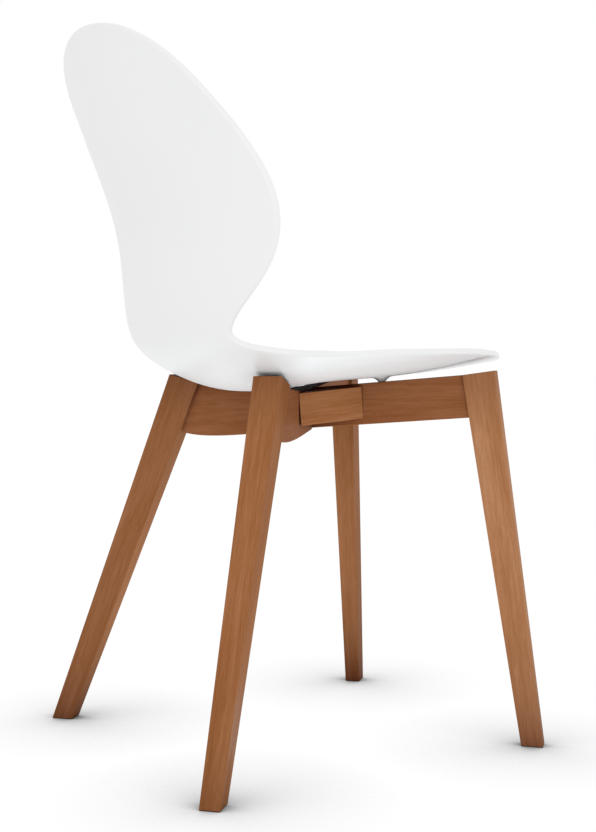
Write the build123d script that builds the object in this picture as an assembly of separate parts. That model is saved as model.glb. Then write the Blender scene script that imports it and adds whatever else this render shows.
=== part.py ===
from build123d import *
import math
import os

# A dining chair: a one-piece moulded seat shell on a cross frame of wood.
# Millimetres, +Z up. The chair faces -Y, and its right-hand side is -X.
# The pieces are drawn about the floor point under the crossing of the two rails,
# then moved along Y so that the origin is on the floor under the middle of the chair.

os.makedirs("parts", exist_ok=True)

CROSSING_Y = -27.0

# ---------------------------------------------------------------- seat shell
# Centre line of the shell's underside and back, as (y, z), from the front edge to the top.
CENTRE_LINE = [
    (-247, 467.5), (-165, 455), (-70, 446.5), (25, 439.5), (100, 433), (148, 445.5),
    (200, 480.5), (218.5, 530), (230, 615), (261, 715), (299.5, 849.5),
]
# Half the shell's width, against the fraction of the way along the centre line.
HALF_WIDTH = [
    (0.0, 134), (0.12, 180), (0.24, 217), (0.35, 213.5), (0.43, 181), (0.49, 150),
    (0.55, 133), (0.62, 169), (0.71, 200), (0.83, 184), (1.0, 193),
]
# How strongly the cross section curls towards the sitter: lift = curl * x * x.
CURL = [
    (0.0, 0.0006), (0.12, 0.00077), (0.24, 0.00068), (0.36, 0.00089), (0.46, 0.00137),
    (0.53, 0.00152), (0.62, 0.00178), (0.8, 0.00174), (1.0, 0.00102),
]
FRONT_ROUNDING = 0.13
FRONT_EXPONENT = 2.5
TOP_ROUNDING = 0.20
TOP_EXPONENT = 2.0
SHELL_THICKNESS = 7.0
# The outline starts and ends at this share of its full width instead of at a point.
BLUNT_END = 0.08
SHELL_COLUMNS = 24
ROUNDED_ROWS = 12
STRAIGHT_ROWS = 36
SKIN_TOLERANCE = 0.05

# --------------------------------------------------------------------- frame
# Rails lie on the two diagonals. "Out" is the distance from the crossing along a diagonal.
RAIL_THICKNESS = 22.0
RAIL_CORNER = 1.0
RAIL_FRONT_BOTTOM_Z = 400.5
RAIL_REAR_BOTTOM_Z = 379.0
RAIL_REAR_TOP_Z = 441.0
# Points of the rail's outline, as (out towards the rear leg, z). The underside runs straight
# from the front leg, then dips in a soft belly by the rear leg. The top runs straight from
# the front leg and stays under the shell's rounded seat.
RAIL_UNDERSIDE_STRAIGHT_END = (-20.0, 386.6)
RAIL_BELLY = (118.0, 374.2)
RAIL_TOP_STRAIGHT_END = (-40.0, 439.0)
RAIL_TOP_LOW = (62.0, 433.5)
HALVING_HEIGHT = 410.0
HALVING_CUT_DEPTH = 60.0
LEG_CORNER = 0.8
FRONT_LEG = dict(out_top=239.1, out_floor=300.1, width_top=39.0, width_floor=26.7,
                 thick_top=32.4, thick_floor=20.7, z_outer=458.1, z_inner=452.5, foot_back=-1.5)
REAR_LEG = dict(out_top=176.0, out_floor=336.4, width_top=38.5, width_floor=27.8,
                thick_top=34.1, thick_floor=23.3, z_outer=452.6, z_inner=442.5, foot_back=18.2)

BLOCK_OUTER_X = 62.5
BLOCK_THICKNESS = 20.0
BLOCK_LENGTH = 91.0
BLOCK_HEIGHT = 40.0
BLOCK_Z = 414.6
BLOCK_TILT = 4.6
BLOCK_CORNER = 0.8

# --------------------------------------------------- glides, dowels, hardware
# Each glide is let into the leg's foot and stands a little proud of it.
GLIDE_THICKNESS = 2.0
GLIDE_PROUD = 0.5
GLIDE_INSET = 3.0
GLIDE_CORNER = 3.0
NAIL_RADIUS = 1.2
NAIL_LENGTH = 16.0
NAIL_HEAD_RADIUS = 3.0
NAIL_HEAD_THICKNESS = 0.8
GAP = 0.05

LEG_DOWEL_RADIUS = 4.0
LEG_DOWEL_LENGTH = 36.0
FRONT_DOWEL_HEIGHTS = (414.0, 438.0)
REAR_DOWEL_HEIGHTS = (394.0, 422.0)
BLOCK_DOWEL_RADIUS = 3.0
BLOCK_DOWEL_IN_RAIL = 14.0
BLOCK_DOWEL_IN_BLOCK = 10.0
BLOCK_DOWEL_X = 50.5

FIXING_OUT = 98.0
BOSS_FOOT_RADIUS = 5.4
BOSS_TOP_RADIUS = 12.0
BOSS_HEIGHT = 8.0
BOSS_SUNK = 1.0
INSERT_RADIUS = 3.65
INSERT_LENGTH = 6.5
INSERT_WALL = 1.1
BOLT_RADIUS = 2.5
BOLT_HOLE_RADIUS = 2.8
BOLT_HEAD_RADIUS = 5.0
BOLT_HEAD_HEIGHT = 3.5
BOLT_HEAD_CHAMFER = 1.0
HEX_KEY = 3.5
HEX_DEPTH = 2.4
CLAMPED_WOOD = 34.0
WASHER_RADIUS = 6.0
WASHER_THICKNESS = 1.2
COUNTERBORE_RADIUS = 6.6

SCREW_RADIUS = 2.0
SCREW_HEAD_RADIUS = 4.0
SCREW_LENGTH = 45.0
SCREW_POINT = 6.0
SCREW_TIP_RADIUS = 0.3
SCREW_SINK = 0.5
SCREW_SLOT = 1.2


def curve_through(points):
    """Natural cubic spline through (x, y) points, returned as a function of x."""
    xs = [p[0] for p in points]
    ys = [p[1] for p in points]
    count = len(xs)
    steps = [xs[i + 1] - xs[i] for i in range(count - 1)]
    slopes = [(ys[i + 1] - ys[i]) / steps[i] for i in range(count - 1)]
    # Bends at the points, from the usual three-term equations, solved by elimination.
    bends = [0.0] * count
    scale = [0.0] * count
    value = [0.0] * count
    for i in range(1, count - 1):
        pivot = 2 * (steps[i - 1] + steps[i]) - steps[i - 1] * scale[i - 1]
        scale[i] = steps[i] / pivot
        value[i] = (6 * (slopes[i] - slopes[i - 1]) - steps[i - 1] * value[i - 1]) / pivot
    for i in range(count - 2, 0, -1):
        bends[i] = value[i] - scale[i] * bends[i + 1]

    def curve(x):
        i = 0
        while i < count - 2 and x > xs[i + 1]:
            i += 1
        h = steps[i]
        left = (xs[i + 1] - x) / h
        right = (x - xs[i]) / h
        bow = ((left ** 3 - left) * bends[i] + (right ** 3 - right) * bends[i + 1]) * h * h / 6
        return left * ys[i] + right * ys[i + 1] + bow

    return curve


def along_centre_line():
    """The centre line's y and z as functions of the fraction of the way along it."""
    lengths = [0.0]
    for (y0, z0), (y1, z1) in zip(CENTRE_LINE, CENTRE_LINE[1:]):
        lengths.append(lengths[-1] + math.hypot(y1 - y0, z1 - z0))
    fractions = [s / lengths[-1] for s in lengths]
    y_curve = curve_through([(f, p[0]) for f, p in zip(fractions, CENTRE_LINE)])
    z_curve = curve_through([(f, p[1]) for f, p in zip(fractions, CENTRE_LINE)])
    return y_curve, z_curve


centre_y, centre_z = along_centre_line()
width_curve = curve_through(HALF_WIDTH)
curl_curve = curve_through(CURL)


def half_width(s):
    """Half the shell's width, closing to nothing at the front edge and at the top."""
    width = width_curve(s)
    if s < FRONT_ROUNDING:
        short = (FRONT_ROUNDING - s) / FRONT_ROUNDING
        width *= (1 - short ** FRONT_EXPONENT) ** (1 / FRONT_EXPONENT)
    if s > 1 - TOP_ROUNDING:
        short = (s - 1 + TOP_ROUNDING) / TOP_ROUNDING
        width *= (1 - short ** TOP_EXPONENT) ** (1 / TOP_EXPONENT)
    return width


def shell_point(s, across, depth):
    """A point of the shell: across runs -1 to 1, depth is measured from the underside."""
    small = 1e-4
    before = max(s - small, 0.0)
    after = min(s + small, 1.0)
    run_y = centre_y(after) - centre_y(before)
    run_z = centre_z(after) - centre_z(before)
    run = math.hypot(run_y, run_z)
    x = half_width(s) * across
    lift = curl_curve(s) * x * x + depth
    return Vector(x, centre_y(s) - run_z / run * lift, centre_z(s) + run_y / run * lift)


def shell_stations():
    """Fractions along the shell, bunched where its outline closes at the two ends."""
    stations = []
    for i in range(ROUNDED_ROWS):
        share = BLUNT_END + (1 - BLUNT_END) * i / ROUNDED_ROWS
        stations.append(FRONT_ROUNDING * (1 - (1 - share ** FRONT_EXPONENT) ** (1 / FRONT_EXPONENT)))
    for i in range(STRAIGHT_ROWS):
        stations.append(FRONT_ROUNDING + (1 - TOP_ROUNDING - FRONT_ROUNDING) * i / STRAIGHT_ROWS)
    for i in range(ROUNDED_ROWS + 1):
        share = 1 - (1 - BLUNT_END) * i / ROUNDED_ROWS
        stations.append(1 - TOP_ROUNDING * (1 - (1 - share ** TOP_EXPONENT) ** (1 / TOP_EXPONENT)))
    return stations


def shell_skin(depth):
    """One side of the shell as a smooth face through a grid of points."""
    rows = []
    for s in shell_stations():
        across = [2 * j / SHELL_COLUMNS - 1 for j in range(SHELL_COLUMNS + 1)]
        rows.append([shell_point(s, share, depth) for share in across])
    return Face.make_surface_from_array_of_points(rows, tol=SKIN_TOLERANCE)


def shell_blank():
    """The shell without its bosses: two skins closed by a narrow rim."""
    under = shell_skin(0.0)
    upper = shell_skin(SHELL_THICKNESS)
    rim = []
    for low_edge in under.edges():
        high_edge = upper.edges().sort_by_distance(low_edge.center())[0]
        rim.append(Face.make_surface_from_curves(low_edge, high_edge))
    return Solid(Shell([under, upper] + rim))


def frame_direction(side_x, side_y):
    """Unit vector along a diagonal towards one corner of the chair."""
    return Vector(side_x, side_y, 0) / math.sqrt(2)


def leg_inner_out(leg, z):
    """How far out a leg's inner face is, at height z."""
    top = leg["out_top"] - leg["width_top"]
    floor = leg["out_floor"] - leg["width_floor"]
    return floor + (top - floor) * z / leg["z_inner"]


def leg_section(leg, z, out, back):
    """The leg's rectangular section at height z, as a wire."""
    share = z / leg["z_outer"]
    outer = leg["out_floor"] + (leg["out_top"] - leg["out_floor"]) * share
    inner = leg_inner_out(leg, z)
    half = (leg["thick_floor"] + (leg["thick_top"] - leg["thick_floor"]) * share) / 2
    shift = leg["foot_back"] * (1 - share)
    corners = []
    for distance, side in ((outer, 1), (outer, -1), (inner, -1), (inner, 1)):
        corners.append(out * distance + back * (shift + side * half) + Vector(0, 0, z))
    return Polyline(*corners, close=True)


def corner_directions(side_x, side_y):
    """A leg's outward diagonal, and the level direction square to it that points to the rear."""
    out = frame_direction(side_x, side_y)
    back = Vector(-side_x, side_y, 0) / math.sqrt(2) * side_y
    return out, back


def make_leg(leg, side_x, side_y):
    out, back = corner_directions(side_x, side_y)
    lower = Face(Wire(leg_section(leg, GLIDE_PROUD, out, back)))
    upper = Face(Wire(leg_section(leg, leg["z_outer"], out, back)))
    blank = Solid.make_loft([lower.outer_wire(), upper.outer_wire()], ruled=True)
    # The top slopes down from the outer edge to the inner edge.
    inner_out = leg_inner_out(leg, leg["z_inner"])
    slope = math.degrees(math.atan2(leg["z_outer"] - leg["z_inner"], leg["out_top"] - inner_out))
    turn = math.degrees(math.atan2(out.Y, out.X))
    waste_size = 3 * leg["width_top"]
    waste = Box(waste_size, waste_size, waste_size, align=(Align.CENTER, Align.CENTER, Align.MIN))
    waste = Rotation(0, 0, turn) * (Rotation(0, -slope, 0) * waste)
    solid = blank - Pos(*(out * leg["out_top"] + Vector(0, 0, leg["z_outer"]))) * waste
    return fillet(solid.edges(), LEG_CORNER)


def make_rail(side_x, notch_from_below):
    """A rail from the front leg at (side_x, -1) to the rear leg at (-side_x, 1)."""
    front_top = (-leg_inner_out(FRONT_LEG, FRONT_LEG["z_inner"]), FRONT_LEG["z_inner"])
    front_bottom = (-leg_inner_out(FRONT_LEG, RAIL_FRONT_BOTTOM_Z), RAIL_FRONT_BOTTOM_Z)
    rear_top = (leg_inner_out(REAR_LEG, RAIL_REAR_TOP_Z), RAIL_REAR_TOP_Z)
    rear_bottom = (leg_inner_out(REAR_LEG, RAIL_REAR_BOTTOM_Z), RAIL_REAR_BOTTOM_Z)
    underside_run = Vector(*RAIL_UNDERSIDE_STRAIGHT_END) - Vector(*front_bottom)
    top_run = Vector(*front_top) - Vector(*RAIL_TOP_STRAIGHT_END)
    outline = [
        Line(front_top, front_bottom),
        Line(front_bottom, RAIL_UNDERSIDE_STRAIGHT_END),
        Spline(RAIL_UNDERSIDE_STRAIGHT_END, RAIL_BELLY, rear_bottom,
               tangents=[underside_run, (1.0, 0.35)]),
        Line(rear_bottom, rear_top),
        Spline(rear_top, RAIL_TOP_LOW, RAIL_TOP_STRAIGHT_END, tangents=[(-1.0, -0.2), top_run]),
        Line(RAIL_TOP_STRAIGHT_END, front_top),
    ]
    face = Face(Wire(outline))
    plane = Plane(origin=(0, 0, 0), x_dir=frame_direction(-side_x, 1), z_dir=frame_direction(1, side_x))
    board = extrude(plane * face, RAIL_THICKNESS / 2, both=True)
    board = fillet(long_edges(board), RAIL_CORNER)
    # Half of the crossing is cut away so that the rails lie in one plane.
    align_z = Align.MAX if notch_from_below else Align.MIN
    notch = Box(RAIL_THICKNESS, 2 * RAIL_THICKNESS, HALVING_CUT_DEPTH,
                align=(Align.CENTER, Align.CENTER, align_z))
    turn = math.degrees(math.atan2(plane.x_dir.Y, plane.x_dir.X))
    return board - Pos(0, 0, HALVING_HEIGHT) * (Rotation(0, 0, turn) * notch)


def long_edges(board):
    """The edges that run along a board, longer than its depth at the legs."""
    return [edge for edge in board.edges() if edge.length > 4 * RAIL_THICKNESS]


def make_block(side_x):
    """The board that braces the crossing on one side, mitred to meet both rails."""
    half = BLOCK_LENGTH / 2
    outline = Polyline(
        (BLOCK_OUTER_X, -half), (BLOCK_OUTER_X, half),
        (BLOCK_OUTER_X - BLOCK_THICKNESS, half - BLOCK_THICKNESS),
        (BLOCK_OUTER_X - BLOCK_THICKNESS, BLOCK_THICKNESS - half), close=True)
    block = extrude(Face(Wire(outline)), BLOCK_HEIGHT / 2, both=True)
    block = chamfer(block.edges(), BLOCK_CORNER)
    block = Pos(0, 0, BLOCK_Z) * (Rotation(-BLOCK_TILT, 0, 0) * block)
    if side_x < 0:
        block = mirror(block, Plane.YZ)
    return block


def rod(start, end, radius):
    """A round bar between two points."""
    way = end - start
    return extrude(Plane(origin=start, z_dir=way) * Circle(radius), way.length)


def leg_dowel_ends():
    """Start and end points of the dowels that pin each leg to its rail."""
    ends = {"front": [], "rear": []}
    for side_x in (-1, 1):
        for name, leg, side_y, heights in (("front", FRONT_LEG, -1, FRONT_DOWEL_HEIGHTS),
                                           ("rear", REAR_LEG, 1, REAR_DOWEL_HEIGHTS)):
            out, back = corner_directions(side_x, side_y)
            for z in heights:
                middle = out * leg_inner_out(leg, z) + Vector(0, 0, z)
                reach = out * (LEG_DOWEL_LENGTH / 2)
                ends[name].append((middle - reach, middle + reach))
    return ends


def block_dowel_ends():
    """Start (in the rail) and end (in the block) of the dowels in the blocks' mitred ends."""
    ends = []
    tilt = math.tan(math.radians(BLOCK_TILT))
    for side_x in (-1, 1):
        for side_y in (-1, 1):
            y = side_y * (BLOCK_DOWEL_X - RAIL_THICKNESS / math.sqrt(2))
            into_block = frame_direction(side_x, -side_y)
            middle = Vector(side_x * BLOCK_DOWEL_X, y, BLOCK_Z - y * tilt)
            ends.append((middle - into_block * BLOCK_DOWEL_IN_RAIL,
                         middle + into_block * BLOCK_DOWEL_IN_BLOCK))
    return ends


def foot_centre(leg, side_x, side_y):
    """The middle of a leg's foot, on the floor."""
    out, back = corner_directions(side_x, side_y)
    return out * (leg["out_floor"] - leg["width_floor"] / 2) + back * leg["foot_back"]


def up_cylinder(radius, height):
    """A cylinder that stands on z = 0."""
    return Cylinder(radius, height, align=(Align.CENTER, Align.CENTER, Align.MIN))


def down_cylinder(radius, height):
    """A cylinder that hangs from z = 0."""
    return Cylinder(radius, height, align=(Align.CENTER, Align.CENTER, Align.MAX))


def up_cone(low_radius, high_radius, height):
    """A cone that stands on z = 0."""
    return Cone(low_radius, high_radius, height, align=(Align.CENTER, Align.CENTER, Align.MIN))


def glide_pad(leg, side_x, side_y, clearance):
    """A glide without its recess for the nail, or the pocket in the leg that holds it."""
    width = leg["width_floor"] - 2 * (GLIDE_INSET - clearance)
    depth = leg["thick_floor"] - 2 * (GLIDE_INSET - clearance)
    pad = extrude(RectangleRounded(width, depth, GLIDE_CORNER + clearance), GLIDE_THICKNESS + clearance)
    return Pos(*foot_centre(leg, side_x, side_y)) * (Rotation(0, 0, 45 * side_x * side_y) * pad)


def make_nail(clearance):
    """A broad-headed nail that holds a glide, or with a clearance the room it needs."""
    head_top = Pos(0, 0, GLIDE_THICKNESS)
    head = head_top * down_cylinder(NAIL_HEAD_RADIUS + clearance, NAIL_HEAD_THICKNESS + clearance)
    return head + head_top * up_cylinder(NAIL_RADIUS + clearance, NAIL_LENGTH + clearance)


def make_insert():
    """Threaded insert, its lower face at z = 0."""
    bore = up_cylinder(INSERT_RADIUS - INSERT_WALL, INSERT_LENGTH)
    return up_cylinder(INSERT_RADIUS, INSERT_LENGTH) - bore


def make_washer():
    """Washer, its upper face at z = 0."""
    ring = up_cylinder(WASHER_RADIUS, WASHER_THICKNESS) - up_cylinder(BOLT_HOLE_RADIUS, WASHER_THICKNESS)
    return Pos(0, 0, -WASHER_THICKNESS) * ring


def make_bolt():
    """Socket-headed bolt, its head's clamping face at z = 0."""
    length = WASHER_THICKNESS + CLAMPED_WOOD + INSERT_LENGTH
    head = Pos(0, 0, -BOLT_HEAD_HEIGHT) * up_cylinder(BOLT_HEAD_RADIUS, BOLT_HEAD_HEIGHT)
    head = chamfer(head.edges().sort_by(Axis.Z)[0], BOLT_HEAD_CHAMFER)
    hexagon = RegularPolygon(HEX_KEY / 2, 6, major_radius=False)
    socket = Pos(0, 0, -BOLT_HEAD_HEIGHT) * extrude(hexagon, HEX_DEPTH)
    return head + up_cylinder(BOLT_RADIUS, length) - socket


def make_screw():
    """Countersunk wood screw, its slotted head's flat at z = 0."""
    head = up_cone(SCREW_HEAD_RADIUS, SCREW_RADIUS, SCREW_HEAD_RADIUS - SCREW_RADIUS)
    shank = up_cylinder(SCREW_RADIUS, SCREW_LENGTH - SCREW_POINT)
    tip = Pos(0, 0, SCREW_LENGTH - SCREW_POINT) * up_cone(SCREW_RADIUS, SCREW_TIP_RADIUS, SCREW_POINT)
    slot = Box(3 * SCREW_HEAD_RADIUS, SCREW_SLOT, SCREW_SLOT)
    return head + shank + tip - slot


def probe(solid, x, y, radius):
    """The box of a solid's material inside an upright cylinder at (x, y)."""
    return (solid & (Pos(x, y, 0) * Cylinder(radius, 3000))).bounding_box()


# ------------------------------------------------------------------ assembly
# Rails by the product of side signs at their ends: 1 runs front right to rear left, -1 the other.
rails = {1: make_rail(-1, notch_from_below=False), -1: make_rail(1, notch_from_below=True)}
legs = {}
for side_x, side_name in ((-1, "right"), (1, "left")):
    legs["front_" + side_name + "_leg"] = make_leg(FRONT_LEG, side_x, -1)
    legs["rear_" + side_name + "_leg"] = make_leg(REAR_LEG, side_x, 1)
blocks = {"right_side_block": make_block(-1), "left_side_block": make_block(1)}

dowel_ends = leg_dowel_ends()
dowels = {}
for name, ends in (("front_leg_dowels", dowel_ends["front"]), ("rear_leg_dowels", dowel_ends["rear"])):
    dowels[name] = [rod(start, end, LEG_DOWEL_RADIUS) for start, end in ends]
    for start, end in ends:
        reach = (end - start).normalized() * (4 * GAP)
        hole = rod(start - reach, end + reach, LEG_DOWEL_RADIUS + GAP)
        for key in rails:
            rails[key] -= hole
        for leg_name in legs:
            legs[leg_name] -= hole
dowels["block_dowels"] = [rod(start, end, BLOCK_DOWEL_RADIUS) for start, end in block_dowel_ends()]
for start, end in block_dowel_ends():
    reach = (end - start).normalized() * (4 * GAP)
    hole = rod(start - reach, end + reach, BLOCK_DOWEL_RADIUS + GAP)
    for key in rails:
        rails[key] -= hole
    for block_name in blocks:
        blocks[block_name] -= hole

# The screw that draws the halved rails together, driven upwards from below.
crossing_bottom = min(probe(rail, 0, 0, SCREW_RADIUS).min.Z for rail in rails.values())
screw_place = Pos(0, 0, crossing_bottom + SCREW_SINK)
screw = screw_place * make_screw()
screw_hole = screw_place * (
    up_cylinder(SCREW_RADIUS + GAP, SCREW_LENGTH + GAP)
    + up_cone(SCREW_HEAD_RADIUS + GAP, SCREW_RADIUS + GAP, SCREW_HEAD_RADIUS - SCREW_RADIUS)
    + down_cylinder(SCREW_HEAD_RADIUS + GAP, 4 * SCREW_SINK))
for key in rails:
    rails[key] -= screw_hole

# Four bolts come up through the rails into threaded inserts moulded in the shell's bosses.
shell = shell_blank()
bolts = []
washers = []
inserts = []
bosses = []
insert_holes = []
bolt_holes = []
for side_x in (-1, 1):
    for side_y in (-1, 1):
        spot = frame_direction(side_x, side_y) * FIXING_OUT
        rail_top = probe(rails[side_x * side_y], spot.X, spot.Y, INSERT_RADIUS).max.Z + GAP
        on_rail = Pos(spot.X, spot.Y, rail_top)
        in_rail = Pos(spot.X, spot.Y, rail_top - CLAMPED_WOOD)
        bolts.append(in_rail * (Pos(0, 0, -WASHER_THICKNESS) * make_bolt()))
        washers.append(in_rail * make_washer())
        inserts.append(on_rail * make_insert())
        bolt_holes.append(in_rail * up_cylinder(BOLT_HOLE_RADIUS, 2 * CLAMPED_WOOD))
        bolt_holes.append(in_rail * down_cylinder(COUNTERBORE_RADIUS, 2 * CLAMPED_WOOD))
        boss = Pos(0, 0, -BOSS_SUNK) * up_cone(BOSS_FOOT_RADIUS, BOSS_TOP_RADIUS, BOSS_HEIGHT)
        bosses.append(on_rail * boss)
        insert_holes.append(on_rail * Cylinder(INSERT_RADIUS + GAP, 2 * (INSERT_LENGTH + GAP)))
for boss in bosses:
    shell += boss
# The bosses start a little below the rails' tops, and the rails trim them to their slope.
for rail in rails.values():
    shell -= rail
for hole in insert_holes:
    shell -= hole
for hole in bolt_holes:
    for key in rails:
        rails[key] -= hole

# Each glide is nailed into a pocket in its leg's foot.
glides = {}
nails = []
for side_x, side_name in ((-1, "right"), (1, "left")):
    for leg, side_y, end_name in ((FRONT_LEG, -1, "front"), (REAR_LEG, 1, "rear")):
        corner_name = end_name + "_" + side_name
        foot = Pos(*foot_centre(leg, side_x, side_y))
        nails.append(foot * make_nail(0))
        nail_room = foot * make_nail(GAP)
        glides[corner_name + "_glide"] = glide_pad(leg, side_x, side_y, 0) - nail_room
        legs[corner_name + "_leg"] -= glide_pad(leg, side_x, side_y, GAP) + nail_room

nodes = {
    "seat_shell": [shell],
    "rail_front_right_to_rear_left": [rails[1]],
    "rail_front_left_to_rear_right": [rails[-1]],
    "seat_bolts": bolts,
    "bolt_washers": washers,
    "threaded_inserts": inserts,
    "crossing_screw": [screw],
    "glide_nails": nails,
}
for group in (legs, blocks, glides):
    for name, solid in group.items():
        nodes[name] = [solid]
nodes.update(dowels)

for name, solids in nodes.items():
    moved = [Pos(0, CROSSING_Y, 0) * solid for solid in solids]
    shape = moved[0] if len(moved) == 1 else Compound(children=moved)
    export_step(shape, "parts/" + name + ".step")
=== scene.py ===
import math

import bmesh
import bpy
from mathutils import Matrix, Vector
from mathutils.bvhtree import BVHTree


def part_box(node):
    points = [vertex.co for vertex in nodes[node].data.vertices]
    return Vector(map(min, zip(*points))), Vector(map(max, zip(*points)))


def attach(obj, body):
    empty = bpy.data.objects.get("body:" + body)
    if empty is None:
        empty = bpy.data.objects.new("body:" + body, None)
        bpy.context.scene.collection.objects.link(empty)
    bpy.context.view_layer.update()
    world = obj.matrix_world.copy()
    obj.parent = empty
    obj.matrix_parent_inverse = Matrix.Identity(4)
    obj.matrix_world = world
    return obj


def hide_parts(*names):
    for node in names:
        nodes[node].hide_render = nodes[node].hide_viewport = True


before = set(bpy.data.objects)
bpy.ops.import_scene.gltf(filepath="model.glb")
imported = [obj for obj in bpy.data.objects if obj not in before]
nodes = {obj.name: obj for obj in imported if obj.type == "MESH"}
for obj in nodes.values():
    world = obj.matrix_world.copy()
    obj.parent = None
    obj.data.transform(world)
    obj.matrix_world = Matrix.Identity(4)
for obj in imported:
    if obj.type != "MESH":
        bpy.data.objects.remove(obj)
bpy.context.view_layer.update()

# A dining chair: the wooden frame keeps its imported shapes, and the moulded shell is
# rebuilt here as a smooth mesh with a rounded rim. Metres, +Z up, the chair faces -Y.

MM = 0.001

# ---------------------------------------------------------------- seat shell
# The crossing of the rails, about which the shell is drawn.
CROSSING_Y = -0.027
# Centre line of the underside and back, as (y, z) in millimetres, from the front edge to the top.
CENTRE_LINE = [
    (-247, 467.5), (-165, 455), (-70, 446.5), (25, 439.5), (100, 433), (148, 445.5),
    (200, 480.5), (218.5, 530), (230, 615), (261, 715), (299.5, 849.5),
]
# Half the width in millimetres, against the fraction of the way along the centre line.
HALF_WIDTH = [
    (0.0, 134), (0.12, 180), (0.24, 217), (0.35, 213.5), (0.43, 181), (0.49, 150),
    (0.55, 133), (0.62, 169), (0.71, 200), (0.83, 184), (1.0, 193),
]
# Curl of the cross section towards the sitter, per millimetre: lift = curl * x * x.
CURL = [
    (0.0, 0.0006), (0.12, 0.00077), (0.24, 0.00068), (0.36, 0.00089), (0.46, 0.00137),
    (0.53, 0.00152), (0.62, 0.00178), (0.8, 0.00174), (1.0, 0.00102),
]
FRONT_ROUNDING = 0.13
FRONT_EXPONENT = 2.5
TOP_ROUNDING = 0.20
TOP_EXPONENT = 2.0
SHELL_THICKNESS = 7.0
OUTLINE_INSET = 0.1
RIM_RADIUS = 1.8
# Mesh rows round each rounded end and along the sides between them.
ROUNDED_STEPS = 26
STRAIGHT_STEPS = 84
# Distances from the edge, in millimetres, of the mesh lines that shape the rim.
RIM_STEPS = [0.0, 0.05, 0.2, 0.5, 0.95, 1.4, RIM_RADIUS, 3.2, 6.0, 10.0]
INNER_STEPS = 13


def curve_through(points):
    """Natural cubic spline through (x, y) points, returned as a function of x."""
    xs = [p[0] for p in points]
    ys = [p[1] for p in points]
    count = len(xs)
    steps = [xs[i + 1] - xs[i] for i in range(count - 1)]
    slopes = [(ys[i + 1] - ys[i]) / steps[i] for i in range(count - 1)]
    bends = [0.0] * count
    scale = [0.0] * count
    value = [0.0] * count
    for i in range(1, count - 1):
        pivot = 2 * (steps[i - 1] + steps[i]) - steps[i - 1] * scale[i - 1]
        scale[i] = steps[i] / pivot
        value[i] = (6 * (slopes[i] - slopes[i - 1]) - steps[i - 1] * value[i - 1]) / pivot
    for i in range(count - 2, 0, -1):
        bends[i] = value[i] - scale[i] * bends[i + 1]

    def curve(x):
        i = 0
        while i < count - 2 and x > xs[i + 1]:
            i += 1
        h = steps[i]
        left = (xs[i + 1] - x) / h
        right = (x - xs[i]) / h
        bow = ((left ** 3 - left) * bends[i] + (right ** 3 - right) * bends[i + 1]) * h * h / 6
        return left * ys[i] + right * ys[i + 1] + bow

    return curve


lengths = [0.0]
for (y0, z0), (y1, z1) in zip(CENTRE_LINE, CENTRE_LINE[1:]):
    lengths.append(lengths[-1] + math.hypot(y1 - y0, z1 - z0))
SHELL_LENGTH = lengths[-1]
centre_y = curve_through([(s / SHELL_LENGTH, p[0]) for s, p in zip(lengths, CENTRE_LINE)])
centre_z = curve_through([(s / SHELL_LENGTH, p[1]) for s, p in zip(lengths, CENTRE_LINE)])
width_curve = curve_through(HALF_WIDTH)
curl_curve = curve_through(CURL)


def half_width(s):
    """Half the shell's width, closing to nothing at the front edge and at the top."""
    width = width_curve(s)
    if s < FRONT_ROUNDING:
        short = (FRONT_ROUNDING - s) / FRONT_ROUNDING
        width *= (1 - short ** FRONT_EXPONENT) ** (1 / FRONT_EXPONENT)
    if s > 1 - TOP_ROUNDING:
        short = (s - 1 + TOP_ROUNDING) / TOP_ROUNDING
        width *= (1 - short ** TOP_EXPONENT) ** (1 / TOP_EXPONENT)
    return width


def shell_point(s, x, depth):
    """A point of the shell in metres: x is sideways, depth is measured from the underside."""
    small = 1e-4
    before = max(s - small, 0.0)
    after = min(s + small, 1.0)
    run_y = centre_y(after) - centre_y(before)
    run_z = centre_z(after) - centre_z(before)
    run = math.hypot(run_y, run_z)
    lift = curl_curve(s) * x * x + depth
    y = centre_y(s) - run_z / run * lift
    z = centre_z(s) + run_y / run * lift
    return Vector((x * MM, y * MM + CROSSING_Y, z * MM))


def outline():
    """One side of the shell's outline as (s, x), from the middle of the front edge to the top."""
    points = []
    for i in range(ROUNDED_STEPS):
        part = i / ROUNDED_STEPS
        s = FRONT_ROUNDING * (1 - (1 - part ** FRONT_EXPONENT) ** (1 / FRONT_EXPONENT))
        points.append((s, half_width(s)))
    for i in range(STRAIGHT_STEPS):
        s = FRONT_ROUNDING + (1 - TOP_ROUNDING - FRONT_ROUNDING) * i / STRAIGHT_STEPS
        points.append((s, half_width(s)))
    for i in range(ROUNDED_STEPS + 1):
        part = math.cos(math.pi / 2 * i / ROUNDED_STEPS)
        s = 1 - TOP_ROUNDING * (1 - (1 - part ** TOP_EXPONENT) ** (1 / TOP_EXPONENT))
        points.append((s, half_width(s)))
    points[-1] = (1.0, 0.0)
    return points


def rim_depth(from_edge):
    """How far the skins are drawn in at this distance from the edge, which rounds the rim."""
    if from_edge >= RIM_RADIUS:
        return 0.0
    return RIM_RADIUS - math.sqrt(RIM_RADIUS ** 2 - (RIM_RADIUS - from_edge) ** 2)


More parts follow.
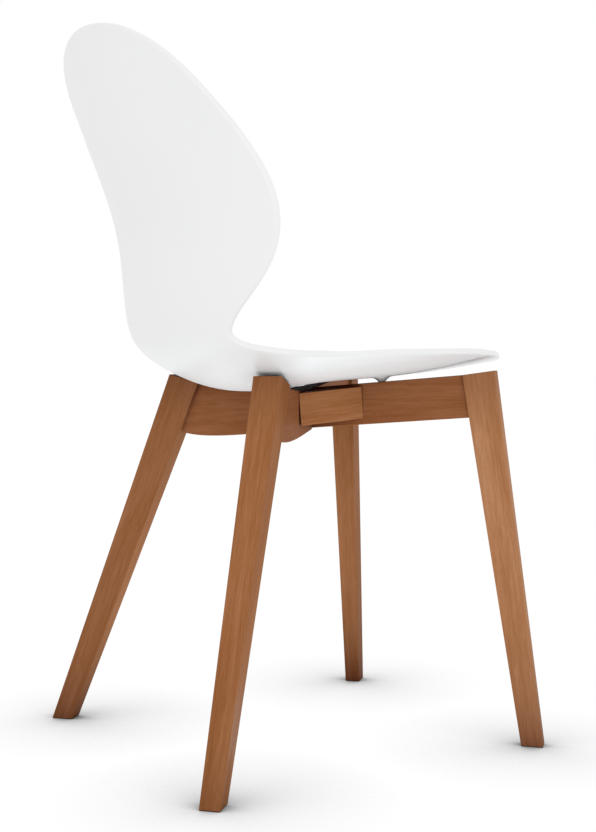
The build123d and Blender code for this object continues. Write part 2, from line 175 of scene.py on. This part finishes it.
def make_shell():
    one_side = outline()
    ring = one_side + [(s, -x) for s, x in reversed(one_side[1:-1])]
    mesh = bmesh.new()

    def skin(upper):
        grid = []
        for s, x in ring:
            # Lines run from the edge to the centre line, and fan out at the two rounded ends.
            root_s = min(max(s, FRONT_ROUNDING), 1 - TOP_ROUNDING)
            reach = math.hypot((s - root_s) * SHELL_LENGTH, x)
            steps = [OUTLINE_INSET + e for e in RIM_STEPS]
            last = steps[-1]
            steps += [last + (reach - last) * k / INNER_STEPS for k in range(1, INNER_STEPS + 1)]
            line = []
            for from_edge in steps:
                share = 1 - from_edge / reach
                drawn_in = rim_depth(from_edge - OUTLINE_INSET)
                depth = SHELL_THICKNESS - drawn_in if upper else drawn_in
                point = shell_point(root_s + (s - root_s) * share, x * share, depth)
                line.append(mesh.verts.new(point))
            grid.append(line)
        for a, b in zip(grid, grid[1:] + grid[:1]):
            for k in range(len(a) - 1):
                corners = (a[k], b[k], b[k + 1], a[k + 1])
                mesh.faces.new(corners if upper else corners[::-1])
        return grid

    lower = skin(False)
    upper = skin(True)
    for i in range(len(ring)):
        j = (i + 1) % len(ring)
        mesh.faces.new((lower[i][0], lower[j][0], upper[j][0], upper[i][0]))
    bmesh.ops.remove_doubles(mesh, verts=mesh.verts, dist=1e-6)
    bmesh.ops.recalc_face_normals(mesh, faces=mesh.faces)
    return finished_piece("moulded_shell", mesh)


def finished_piece(name, mesh):
    """Turns a bmesh into a smooth object that rides on the chair."""
    data = bpy.data.meshes.new(name)
    for face in mesh.faces:
        face.smooth = True
    mesh.to_mesh(data)
    mesh.free()
    piece = bpy.data.objects.new(name, data)
    bpy.context.scene.collection.objects.link(piece)
    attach(piece, "root")
    return piece


# ------------------------------------------------------- bosses under the shell
BOSS_SEGMENTS = 40
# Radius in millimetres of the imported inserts, whose places the bosses take.
INSERT_RADIUS = 3.65
# Radius in millimetres against the share of the way up from the rail to the shell.
BOSS_PROFILE = [
    (0.0, 4.2), (0.04, 4.8), (0.14, 5.2), (0.35, 6.2), (0.6, 7.9),
    (0.8, 9.9), (0.95, 12.4), (1.0, 14.0), (1.1, 17.0),
]
# Heights, in metres, above the whole frame and below the whole shell.
ABOVE_FRAME = 0.6
BELOW_SHELL = 0.41


def make_boss(name, x, y, rail_tree, shell_tree):
    """A flared boss that stands on the rail's top and runs out into the shell's underside."""
    mesh = bmesh.new()
    foot_radius = BOSS_PROFILE[0][1] * MM
    rings = []
    for share, radius in BOSS_PROFILE:
        ring = []
        for k in range(BOSS_SEGMENTS):
            turn = 2 * math.pi * k / BOSS_SEGMENTS
            px = x + radius * MM * math.cos(turn)
            py = y + radius * MM * math.sin(turn)
            foot_x = x + foot_radius * math.cos(turn)
            foot_y = y + foot_radius * math.sin(turn)
            low = rail_tree.ray_cast(Vector((foot_x, foot_y, ABOVE_FRAME)), Vector((0, 0, -1)))[0].z
            high = shell_tree.ray_cast(Vector((px, py, BELOW_SHELL)), Vector((0, 0, 1)))[0].z
            ring.append(mesh.verts.new((px, py, low + (high - low) * share)))
        rings.append(ring)
    for a, b in zip(rings, rings[1:]):
        for k in range(BOSS_SEGMENTS):
            j = (k + 1) % BOSS_SEGMENTS
            mesh.faces.new((a[k], a[j], b[j], b[k]))
    mesh.faces.new(list(reversed(rings[0])))
    bmesh.ops.recalc_face_normals(mesh, faces=mesh.faces)
    return finished_piece(name, mesh)


# ------------------------------------------------------------------ materials
def add(tree, kind, settings=None, **inputs):
    """Adds a shader node. Inputs are values or sockets, under the socket's name, or in0, in1 and so on."""
    made = tree.nodes.new("ShaderNode" + kind)
    for key, value in (settings or {}).items():
        setattr(made, key, value)
    for key, value in inputs.items():
        numbered = key.startswith("in") and key[2:].isdigit()
        socket = made.inputs[int(key[2:]) if numbered else key]
        if isinstance(value, bpy.types.NodeSocket):
            tree.links.new(value, socket)
        else:
            socket.default_value = value
    return made


def new_material(name):
    material = bpy.data.materials.new(name)
    material.use_nodes = True
    tree = material.node_tree
    return material, tree, tree.nodes["Principled BSDF"]


def ramp(tree, factor, stops):
    made = add(tree, "ValToRGB", in0=factor)
    elements = made.color_ramp.elements
    while len(elements) < len(stops):
        elements.new(0.5)
    for element, (place, colour) in zip(elements, stops):
        element.position = place
        element.color = (*colour, 1.0)
    return made.outputs[0]


def noise(tree, vector, scale, detail=2.0, roughness=0.5):
    made = add(tree, "TexNoise", Vector=vector, Scale=scale, Detail=detail, Roughness=roughness)
    return made.outputs["Fac"]


def stretched(tree, vector, factors):
    return add(tree, "VectorMath", {"operation": "MULTIPLY"}, in0=vector, in1=factors).outputs[0]


def spread(tree, value, low, high, to_low, to_high):
    """Maps low..high to to_low..to_high, held at the ends."""
    return add(tree, "MapRange", in0=value, in1=low, in2=high, in3=to_low, in4=to_high).outputs[0]


def times(tree, a, b):
    return add(tree, "Math", {"operation": "MULTIPLY"}, in0=a, in1=b).outputs[0]


def plus(tree, a, b):
    return add(tree, "Math", {"operation": "ADD"}, in0=a, in1=b).outputs[0]


def minus(tree, a, b):
    return add(tree, "Math", {"operation": "SUBTRACT"}, in0=a, in1=b).outputs[0]


# Stained wood and plain beech, from the darkest grain to the lightest.
STAIN = [
    (0.30, (0.235, 0.078, 0.022)),
    (0.45, (0.292, 0.108, 0.034)),
    (0.55, (0.335, 0.132, 0.047)),
    (0.72, (0.415, 0.180, 0.078)),
]
BEECH = [
    (0.25, (0.42, 0.27, 0.15)),
    (0.45, (0.55, 0.38, 0.23)),
    (0.62, (0.62, 0.45, 0.28)),
    (0.85, (0.70, 0.53, 0.36)),
]
# Shares of open air, within this reach in metres, at which the shade painted on the wood is darkest and at
# which there is none.
CORNER_REACH = 0.05
CORNER_AIR = (0.15, 0.58)
# What the wood's colour is multiplied by where its painted shade is darkest.
PAINTED_SHADE_COLOUR = (0.12, 0.0, 0.0, 1.0)
# Shade is painted on the legs over their topmost stretch, under the shell, up to this share. Heights are
# in metres.
LEG_TOP_HEIGHT = 0.455
TOP_SHADE_REACH = 0.075
TOP_SHADE = 0.26


def wood_material(name, along, seed, painted_shading, stops, foot_shade=0.0, foot_reach=0.07):
    """Wood whose grain runs along a direction, with shade painted into its corners. With a foot shade,
    shade is also painted on it towards the floor and towards the top of the leg.
    """
    material, tree, shader = new_material(name)
    along = Vector(along).normalized()
    side = along.cross(Vector((0, 0, 1)) if abs(along.z) < 0.9 else Vector((1, 0, 0))).normalized()
    third = along.cross(side)
    turn = Matrix((along, side, third)).to_euler()
    where = add(tree, "TexCoord").outputs["Object"]
    # The seed moves the pattern, so that no two pieces share their grain.
    shift = (seed * 1.37, seed * 0.61, seed * 0.23)
    grain = add(tree, "Mapping", Vector=where, Rotation=turn, Location=shift).outputs[0]
    # The grain wanders a little along the board.
    bend = noise(tree, stretched(tree, grain, (5.0, 14.0, 14.0)), 1.0, 2.0)
    wander = add(tree, "CombineXYZ", X=0.0, Y=times(tree, bend, 0.016), Z=times(tree, bend, 0.012))
    grain = add(tree, "VectorMath", {"operation": "ADD"}, in0=grain, in1=wander.outputs[0]).outputs[0]
    rings = noise(tree, stretched(tree, grain, (7.0, 260.0, 170.0)), 1.0, 3.0, 0.6)
    broad = noise(tree, stretched(tree, grain, (5.0, 45.0, 38.0)), 1.0, 1.0)
    fibre = noise(tree, stretched(tree, grain, (34.0, 900.0, 900.0)), 1.0, 3.0, 0.65)
    pores = noise(tree, stretched(tree, grain, (75.0, 2600.0, 2600.0)), 1.0, 1.0)
    pores = spread(tree, pores, 0.62, 0.72, 0.0, 1.0)
    shade = plus(tree, times(tree, rings, 0.40), times(tree, broad, 0.22))
    shade = plus(tree, shade, times(tree, fibre, 0.38))
    shade = minus(tree, shade, times(tree, pores, 0.05))
    # The stain's colours are multiplied by the piece's painted light and shade.
    colour = ramp(tree, shade, [(at, [c * t for c, t in zip(rgb, painted_shading)]) for at, rgb in stops])
    # Shade is painted into the wood's colour in corners and under the shell, on top of the real shade.
    open_air = add(tree, "AmbientOcclusion", {"samples": 8}, Distance=CORNER_REACH).outputs["AO"]
    shade = spread(tree, open_air, *CORNER_AIR, 1.0, 0.0)
    # Painted shade: darker towards the floor, and under the shell at the top of the leg.
    if foot_shade:
        height = add(tree, "SeparateXYZ", Vector=where).outputs["Z"]
        fade = math.exp(-1 / foot_reach)
        near_floor = add(tree, "Math", {"operation": "POWER"}, in0=fade, in1=height)
        top_start = LEG_TOP_HEIGHT - TOP_SHADE_REACH
        near_top = spread(tree, height, top_start, LEG_TOP_HEIGHT, 0.0, TOP_SHADE)
        ends = plus(tree, times(tree, near_floor.outputs[0], foot_shade), near_top)
        shade = add(tree, "Math", {"operation": "MAXIMUM"}, in0=shade, in1=ends).outputs[0]
    colour = add(tree, "Mix", {"data_type": "RGBA", "blend_type": "MULTIPLY"}, in0=shade,
                 in6=colour, in7=PAINTED_SHADE_COLOUR).outputs[2]
    tree.links.new(colour, shader.inputs["Base Color"])
    rough = plus(tree, spread(tree, fibre, 0.3, 0.7, 0.42, 0.54), times(tree, pores, 0.12))
    tree.links.new(rough, shader.inputs["Roughness"])
    height_map = minus(tree, times(tree, fibre, 0.5), pores)
    bump = add(tree, "Bump", Strength=0.15, Distance=0.0002, Height=height_map)
    tree.links.new(bump.outputs[0], shader.inputs["Normal"])
    shader.inputs["Specular IOR Level"].default_value = 0.015
    return material


def shell_material():
    """White moulded plastic with a satin skin: faint mottling, flow marks and a fine mould texture."""
    material, tree, shader = new_material("moulded_plastic")
    where = add(tree, "TexCoord").outputs["Object"]
    mottling = noise(tree, where, 9.0, 3.0)
    fine = noise(tree, where, 1900.0, 2.0)
    flow = noise(tree, stretched(tree, where, (26.0, 5.0, 5.0)), 1.0, 2.0)
    mixed = plus(tree, times(tree, mottling, 0.7), times(tree, flow, 0.3))
    colour = ramp(tree, mixed, [(0.3, (0.778, 0.780, 0.782)), (0.7, (0.790, 0.791, 0.793))])
    tree.links.new(colour, shader.inputs["Base Color"])
    rough = plus(tree, spread(tree, flow, 0.3, 0.7, 0.34, 0.44), times(tree, fine, 0.05))
    tree.links.new(rough, shader.inputs["Roughness"])
    bump = add(tree, "Bump", Strength=0.12, Distance=0.00008, Height=fine)
    tree.links.new(bump.outputs[0], shader.inputs["Normal"])
    shader.inputs["IOR"].default_value = 1.49
    return material


def metal_material(name, light, dark, roughness):
    """Bare or plated metal, blotched and finely scratched upwards."""
    material, tree, shader = new_material(name)
    where = add(tree, "TexCoord").outputs["Object"]
    blotches = noise(tree, where, 260.0, 3.0)
    lines = noise(tree, stretched(tree, where, (900.0, 900.0, 120.0)), 1.0, 2.0)
    mixed = plus(tree, times(tree, blotches, 0.6), times(tree, lines, 0.4))
    tree.links.new(ramp(tree, mixed, [(0.3, dark), (0.7, light)]), shader.inputs["Base Color"])
    rough = spread(tree, mixed, 0.3, 0.7, roughness + 0.1, roughness - 0.06)
    tree.links.new(rough, shader.inputs["Roughness"])
    bump = add(tree, "Bump", Strength=0.1, Distance=0.0001, Height=lines)
    tree.links.new(bump.outputs[0], shader.inputs["Normal"])
    shader.inputs["Metallic"].default_value = 1.0
    return material


def glide_material():
    """Dark nylon, matt and a little scuffed."""
    material, tree, shader = new_material("dark_nylon")
    where = add(tree, "TexCoord").outputs["Object"]
    grains = noise(tree, where, 1400.0, 3.0)
    scuffs = noise(tree, stretched(tree, where, (40.0, 300.0, 40.0)), 1.0, 4.0)
    tree.links.new(ramp(tree, scuffs, [(0.45, (0.030, 0.022, 0.018)), (0.8, (0.085, 0.07, 0.06))]),
                   shader.inputs["Base Color"])
    tree.links.new(spread(tree, grains, 0.3, 0.7, 0.5, 0.7), shader.inputs["Roughness"])
    bump = add(tree, "Bump", Strength=0.2, Distance=0.0001, Height=grains)
    tree.links.new(bump.outputs[0], shader.inputs["Normal"])
    return material


# ------------------------------------------------------------------- assembly
shell = make_shell()
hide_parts("seat_shell")
plastic = shell_material()
shell.data.materials.append(plastic)

graph = bpy.context.evaluated_depsgraph_get()
shell_tree = BVHTree.FromObject(shell, graph)
insert_low, insert_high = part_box("threaded_inserts")
insert_radius = INSERT_RADIUS * MM
for x_side, x in (("right", insert_low.x + insert_radius), ("left", insert_high.x - insert_radius)):
    for y_side, y in (("front", insert_low.y + insert_radius), ("rear", insert_high.y - insert_radius)):
        same = (x_side == "right") == (y_side == "front")
        rail = "rail_front_right_to_rear_left" if same else "rail_front_left_to_rear_right"
        rail_tree = BVHTree.FromObject(nodes[rail], graph)
        boss = make_boss(y_side + "_" + x_side + "_boss", x, y, rail_tree, shell_tree)
        boss.data.materials.append(plastic)


def lean_of(node):
    """Direction of a leg, from the middle of its foot to the middle of its top."""
    points = [v.co for v in nodes[node].data.vertices]
    low = min(p.z for p in points)
    high = max(p.z for p in points)
    foot = [p for p in points if p.z < low + 0.004]
    top = [p for p in points if p.z > high - 0.012]
    return sum(top, Vector()) / len(top) - sum(foot, Vector()) / len(foot)


def paint(node, material):
    materials = nodes[node].data.materials
    materials.clear()
    materials.append(material)


# What the stain's red, green and blue are multiplied by on each piece: painted light and shade, which
# stand in for light and shade that the studio's lights don't give, so the pieces' own colours differ more
# than real ones would.
# Each leg also has how much shade is painted on it near the floor, and the reach of that in metres.
LEG_PAINTED_SHADING = {
    "rear_right_leg": ((0.94, 0.98, 1.10), 0.34, 0.055),
    "rear_left_leg": ((0.86, 0.91, 1.08), 0.56, 0.065),
    "front_right_leg": ((1.25, 1.50, 2.05), 0.60, 0.075),
    "front_left_leg": ((0.88, 0.95, 1.15), 0.70, 0.085),
}
RIGHT_RAIL_PAINTED_SHADING = (0.83, 0.83, 1.00)
LEFT_RAIL_PAINTED_SHADING = (0.79, 0.79, 0.95)
RIGHT_BLOCK_PAINTED_SHADING = (1.08, 1.17, 1.42)
LEFT_BLOCK_PAINTED_SHADING = (0.92, 0.98, 1.20)
PLAIN = (1.0, 1.0, 1.0)
# How far the grain of the rails and of the side blocks falls towards the rear.
RAIL_SLOPE = 0.06
BLOCK_SLOPE = math.tan(math.radians(4.6))
for number, (leg, (painted_shading, foot_shade, reach)) in enumerate(LEG_PAINTED_SHADING.items()):
    seed = 3.1 + 2.7 * number
    paint(leg, wood_material(leg + "_wood", lean_of(leg), seed, painted_shading, STAIN, foot_shade, reach))
for node, wood_name, along, seed, painted_shading in (
        ("rail_front_right_to_rear_left", "right_rail_wood", (1, 1, -RAIL_SLOPE), 17.3, RIGHT_RAIL_PAINTED_SHADING),
        ("rail_front_left_to_rear_right", "left_rail_wood", (-1, 1, -RAIL_SLOPE), 21.9, LEFT_RAIL_PAINTED_SHADING),
        ("right_side_block", "right_block_wood", (0, 1, -BLOCK_SLOPE), 25.1, RIGHT_BLOCK_PAINTED_SHADING),
        ("left_side_block", "left_block_wood", (0, 1, -BLOCK_SLOPE), 29.7, LEFT_BLOCK_PAINTED_SHADING)):
    paint(node, wood_material(wood_name, along, seed, painted_shading, STAIN))
for number, name in enumerate(("front_leg_dowels", "rear_leg_dowels", "block_dowels")):
    paint(name, wood_material(name + "_wood", (1, 1, 0), 33.0 + number, PLAIN, BEECH))
nylon = glide_material()
for end in ("front", "rear"):
    for side in ("left", "right"):
        paint(end + "_" + side + "_glide", nylon)
zinc = metal_material("zinc_plate", (0.62, 0.63, 0.65), (0.45, 0.46, 0.47), 0.34)
for name in ("seat_bolts", "bolt_washers", "crossing_screw", "glide_nails"):
    paint(name, zinc)
paint("threaded_inserts", metal_material("turned_brass", (0.75, 0.56, 0.27), (0.60, 0.42, 0.17), 0.30))


# --------------------------------------------------------------- studio
FLOOR_SIZE = 40.0
FLOOR_GLOW = 0.99
# How far from a leg the painted shadow reaches, in metres: the floor's glow is dimmed by ambient
# occlusion, not by a cast shadow.
SHADOW_REACH = 0.2


def make_floor():
    """A wide, near-black floor made pale by its own glow, with soft shadows painted near the legs by
    dimming that glow.
    """
    mesh = bmesh.new()
    bmesh.ops.create_grid(mesh, x_segments=8, y_segments=8, size=FLOOR_SIZE)
    data = bpy.data.meshes.new("studio_floor")
    mesh.to_mesh(data)
    mesh.free()
    floor = bpy.data.objects.new("studio_floor", data)
    bpy.context.scene.collection.objects.link(floor)
    material, tree, shader = new_material("pale_floor")
    # Painted shadow: the glow is dimmed where the floor is sheltered, near the legs.
    shelter = add(tree, "AmbientOcclusion", {"samples": 16}, Distance=SHADOW_REACH).outputs["AO"]
    glow = add(tree, "Math", {"operation": "POWER"}, in0=shelter, in1=2.0).outputs[0]
    shader.inputs["Base Color"].default_value = (0.02, 0.02, 0.02, 1.0)
    shader.inputs["Roughness"].default_value = 1.0
    shader.inputs["Specular IOR Level"].default_value = 0.0
    shader.inputs["Emission Color"].default_value = (1.0, 1.0, 1.0, 1.0)
    tree.links.new(times(tree, glow, FLOOR_GLOW), shader.inputs["Emission Strength"])
    material.cycles.emission_sampling = "NONE"
    data.materials.append(material)


def soft_light(name, place, target, size, power):
    """A round area light that faces its target."""
    data = bpy.data.lights.new(name, "AREA")
    data.shape = "DISK"
    data.size = size
    data.energy = power
    lamp = bpy.data.objects.new(name, data)
    lamp.location = place
    lamp.rotation_euler = (Vector(target) - Vector(place)).to_track_quat("-Z", "Y").to_euler()
    bpy.context.scene.collection.objects.link(lamp)
    return data


make_floor()
scene = bpy.context.scene
world = bpy.data.worlds.new("studio")
scene.world = world
world.use_nodes = True
world.node_tree.nodes["Background"].inputs["Color"].default_value = (1.0, 1.0, 1.0, 1.0)
world.node_tree.nodes["Background"].inputs["Strength"].default_value = 1.0
scene.view_settings.view_transform = "Standard"
soft_light("key", (-2.75, 1.1, 1.3), (0, 0, 0.4), 1.6, 10.0)
# A faint, cool light from the floor, which evens out the warm light that the wood throws on the shell.
below = soft_light("glow_from_below", (-0.02, -0.01, 0.004), (-0.02, -0.01, 1.0), 0.30, 0.62)
below.color = (0.80, 0.94, 1.0)

# ----------------------------------------------------------------- camera
CAMERA_PLACE = (-1.4922, 0.8603, 0.4700)
CAMERA_AZIMUTH = 239.58
CAMERA_PITCH = 2.305
CAMERA_LENS = 59.5
azimuth = math.radians(CAMERA_AZIMUTH)
pitch = math.radians(CAMERA_PITCH)
back = Vector((math.sin(azimuth) * math.cos(pitch), -math.cos(azimuth) * math.cos(pitch), math.sin(pitch)))
camera_data = bpy.data.cameras.new("camera")
camera_data.lens = CAMERA_LENS
camera_data.sensor_width = 36.0
camera_data.clip_end = 200.0
camera = bpy.data.objects.new("camera", camera_data)
camera.location = CAMERA_PLACE
camera.rotation_euler = (-back).to_track_quat("-Z", "Y").to_euler()
scene.collection.objects.link(camera)
scene.camera = camera
